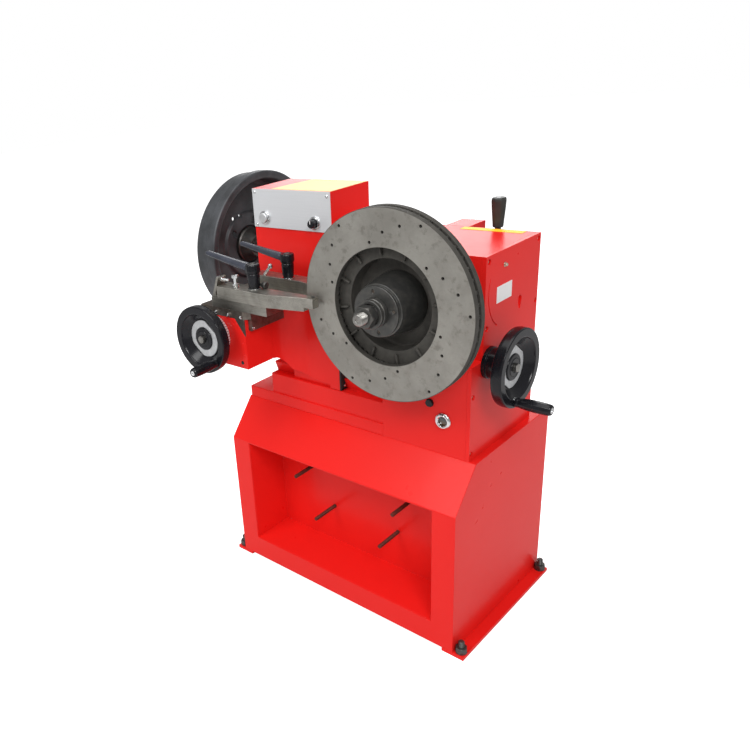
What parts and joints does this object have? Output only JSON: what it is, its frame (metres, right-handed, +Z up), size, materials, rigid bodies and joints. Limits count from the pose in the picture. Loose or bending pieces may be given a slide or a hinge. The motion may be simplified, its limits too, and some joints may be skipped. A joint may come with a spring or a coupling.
{
  "type": "brake lathe",
  "caption": "Workshop brake lathe on a sheet metal stand, turning a brake disc on a front spindle and a brake drum on a side spindle.",
  "frame": {"origin": "middle of the footprint of the whole lathe, on the floor under its foot bars", "axes": "+Z up, +Y from the operator's side to the back, +X to the operator's right"},
  "size_m": [0.928, 0.627, 0.919],
  "materials": {
    "red_paint": "glossy red enamel on folded sheet",
    "red_casting": "glossy red enamel on filled cast iron",
    "black_steel": "black oxide",
    "dark_steel": "dark oiled steel",
    "machined_steel": "ground steel",
    "tool_steel": "ground tool bit",
    "bearing_steel": "polished bearing steel",
    "disc_iron": "machined cast iron",
    "drum_iron": "satin black coating",
    "grey_iron": "plain grey casting",
    "chrome": "bright plated",
    "bronze": "machined bronze",
    "silver_panel": "brushed aluminium sheet",
    "black_plastic": "glossy black moulding",
    "rubber": "matt black rubber"
  },
  "bodies": {
    "frame": {"stand_shell": "red_paint", "storage_tray": "red_paint", "foot_left": "red_paint", "foot_right": "red_paint", "anchor_bolt_1": "black_steel", "anchor_bolt_2": "black_steel", "anchor_bolt_3": "black_steel", "anchor_bolt_4": "black_steel", "bed": "red_casting", "headstock": "red_casting", "side_cover": "red_paint", "belt_guard": "red_paint", "control_box": "red_paint", "control_panel": "silver_panel", "sight_glass": "chrome", "filler_plug": "black_plastic", "disc_front_bearing": "bearing_steel", "disc_rear_bearing": "bearing_steel", "drum_outer_bearing": "bearing_steel", "drum_inner_bearing": "bearing_steel", "motor": "grey_iron", "drive_belt": "rubber"},
    "disc_rotor": {"disc_spindle": "machined_steel", "brake_disc": "disc_iron", "clamp_bell": "black_steel", "clamp_collar": "black_steel", "clamp_nut": "dark_steel", "disc_drive_gear": "dark_steel", "disc_mitre_gear": "dark_steel"},
    "drum_rotor": {"drum_spindle": "machined_steel", "brake_drum": "drum_iron", "drum_cone": "black_steel", "drum_nut": "dark_steel", "drum_mitre_gear": "dark_steel"},
    "input_rotor": {"input_shaft": "machined_steel", "driven_pulley": "grey_iron"},
    "motor_rotor": {"motor_pulley": "grey_iron"},
    "carriage": {"saddle": "red_casting", "feed_nut": "bronze", "saddle_wiper": "rubber", "apron_box": "red_casting", "way_plate": "dark_steel"},
    "cross_slide": {"slide_table": "machined_steel", "front_arm": "machined_steel", "rear_arm": "machined_steel", "front_bit": "tool_steel", "rear_bit": "tool_steel", "end_bracket": "machined_steel"},
    "front_clamp": {"front_clamp_lever": "black_plastic"},
    "rear_clamp": {"rear_clamp_lever": "black_plastic"},
    "left_wheel": {"left_handwheel": "black_plastic", "cross_screw": "machined_steel"},
    "left_grip": {"left_handle": "black_plastic"},
    "right_wheel": {"right_handwheel": "black_plastic", "feed_screw": "machined_steel"},
    "right_grip": {"right_handle": "black_plastic"},
    "shifter": {"shift_lever": "dark_steel", "shift_knob": "black_plastic"},
    "selector": {"selector_knob": "black_plastic"},
    "button": {"start_button": "chrome"}
  },
  "joints": [
    {"name": "disc_spin", "type": "hinge", "parent": "frame", "child": "disc_rotor", "pos_m": [0.209, -0.003, 0.735], "axis": [0, 1, 0], "continuous": true},
    {"name": "drum_spin", "type": "hinge", "parent": "frame", "child": "drum_rotor", "pos_m": [0.002, 0.1295, 0.735], "axis": [1, 0, 0], "continuous": true},
    {"name": "input_spin", "type": "hinge", "parent": "frame", "child": "input_rotor", "pos_m": [0.155, -0.003, 0.68738], "axis": [0, 1, 0], "continuous": true},
    {"name": "motor_spin", "type": "hinge", "parent": "frame", "child": "motor_rotor", "pos_m": [0.231, -0.003, 0.513], "axis": [0, 1, 0], "continuous": true},
    {"name": "feed_wheel_turn", "type": "hinge", "parent": "frame", "child": "right_wheel", "pos_m": [0.396, -0.0035, 0.605], "axis": [1, 0, 0], "range_deg": [-2521, 3961]},
    {"name": "carriage_slide", "type": "slide", "parent": "frame", "child": "carriage", "axis": [1, 0, 0], "range_m": [-0.055, 0.035]},
    {"name": "cross_wheel_turn", "type": "hinge", "parent": "carriage", "child": "left_wheel", "pos_m": [-0.2054, -0.2455, 0.6265], "axis": [0, 1, 0], "range_deg": [-433, 433]},
    {"name": "cross_slide_move", "type": "slide", "parent": "carriage", "child": "cross_slide", "axis": [0, 1, 0], "range_m": [-0.006, 0.006]},
    {"name": "front_clamp_turn", "type": "hinge", "parent": "cross_slide", "child": "front_clamp", "pos_m": [-0.088, -0.1805, 0.739], "axis": [0, 0, 1], "range_deg": [-15, 50]},
    {"name": "rear_clamp_turn", "type": "hinge", "parent": "cross_slide", "child": "rear_clamp", "pos_m": [-0.079, -0.0867, 0.739], "axis": [0, 0, 1], "range_deg": [-20, 15]},
    {"name": "left_grip_spin", "type": "hinge", "parent": "left_wheel", "child": "left_grip", "pos_m": [-0.15858, -0.283, 0.58435], "axis": [0, 1, 0], "continuous": true},
    {"name": "right_grip_spin", "type": "hinge", "parent": "right_wheel", "child": "right_grip", "pos_m": [0.432, -0.0166, 0.54338], "axis": [1, 0, 0], "continuous": true},
    {"name": "shift_lever_swing", "type": "hinge", "parent": "frame", "child": "shifter", "pos_m": [0.234, 0.2045, 0.774], "axis": [0, 1, 0], "range_deg": [-15, 15]},
    {"name": "selector_turn", "type": "hinge", "parent": "frame", "child": "selector", "pos_m": [-0.049, -0.038, 0.8435], "axis": [0, 1, 0], "range_deg": [-45, 45]},
    {"name": "start_button_press", "type": "slide", "parent": "frame", "child": "button", "axis": [0, 1, 0], "range_m": [0, 0.003], "stiffness_N_per_m": 600, "springref_m": -0.001}
  ],
  "couplings": [
    {"joint": "drum_spin", "follows": "disc_spin", "ratio": -1},
    {"joint": "input_spin", "follows": "disc_spin", "ratio": -3},
    {"joint": "motor_spin", "follows": "disc_spin", "ratio": -5},
    {"joint": "feed_wheel_turn", "follows": "carriage_slide", "rad_per_m": -1256.6},
    {"joint": "cross_wheel_turn", "follows": "cross_slide_move", "rad_per_m": -1256.6}
  ]
}
